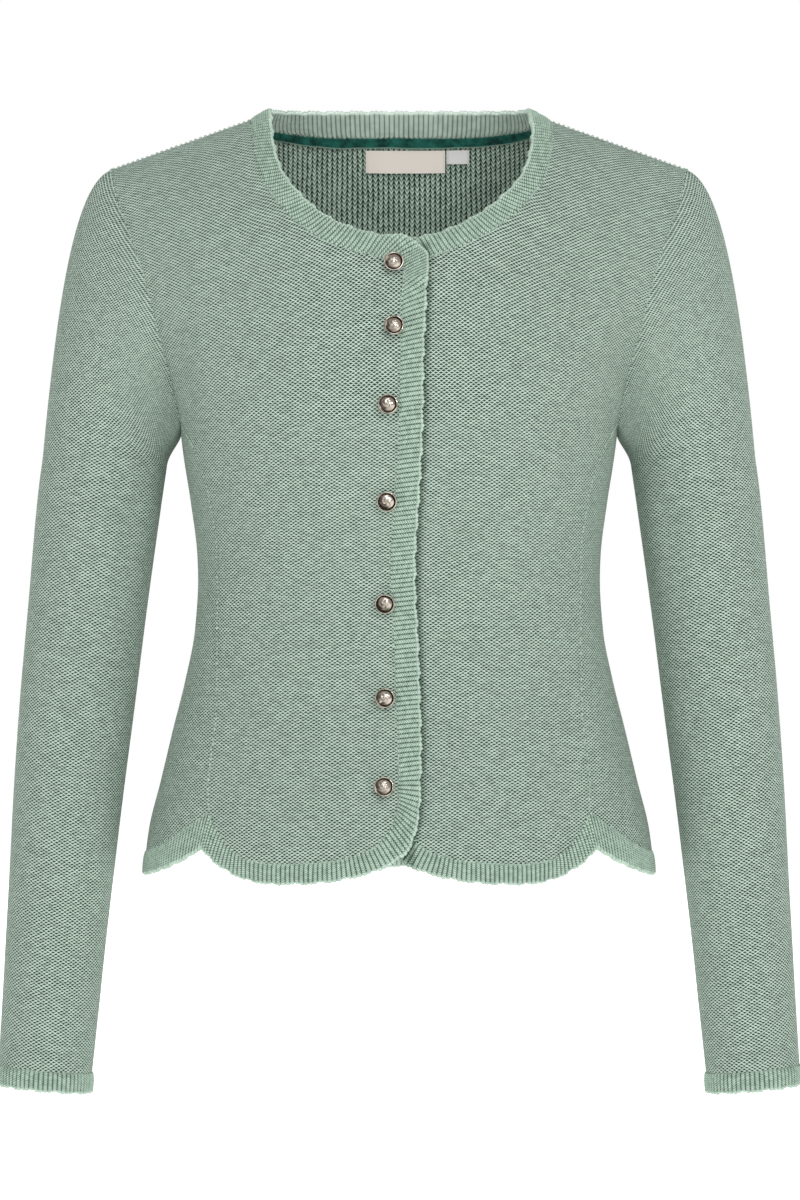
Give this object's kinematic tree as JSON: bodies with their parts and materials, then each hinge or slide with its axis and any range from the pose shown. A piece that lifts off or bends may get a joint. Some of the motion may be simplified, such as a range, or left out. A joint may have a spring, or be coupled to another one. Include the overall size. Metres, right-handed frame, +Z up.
{
  "type": "trachten cardigan, worn form with no wearer",
  "caption": "Fitted long-sleeved knitted jacket in its worn, hollow form, with a round neck, rib trims, scalloped hem lobes and domed metal buttons.",
  "frame": {"origin": "between the wearer's shoulders, level with the seam at the side of the neck, where the shoulders carry it", "axes": "+Z up, +X to the wearer's left, the closing faces -Y"},
  "size_m": [0.5206, 0.2418, 0.6403],
  "materials": {
    "knit": "matt sage green melange cotton knit, purl side out",
    "rib": "matt sage green fine rib",
    "velvet_tape": "dark green velvet",
    "woven_label": "cream woven satin",
    "woven_tab": "white woven taffeta",
    "button_metal": "aged silver, dark in the hollows"
  },
  "bodies": {
    "root": {"front_right": "knit", "front_left": "knit", "back": "knit", "side_right": "knit", "side_left": "knit", "sleeve_right": "knit", "sleeve_left": "knit", "trim_right": "rib", "trim_left": "rib", "hem_rib_side_right": "rib", "hem_rib_side_left": "rib", "hem_rib_back": "rib", "neck_rib_back": "rib", "cuff_rib_right": "rib", "cuff_rib_left": "rib", "neck_tape": "velvet_tape", "neck_label": "woven_label", "size_tab": "woven_tab", "button_1": "button_metal", "button_2": "button_metal", "button_3": "button_metal", "button_4": "button_metal", "button_5": "button_metal", "button_6": "button_metal", "button_7": "button_metal"}
  },
  "joints": []
}
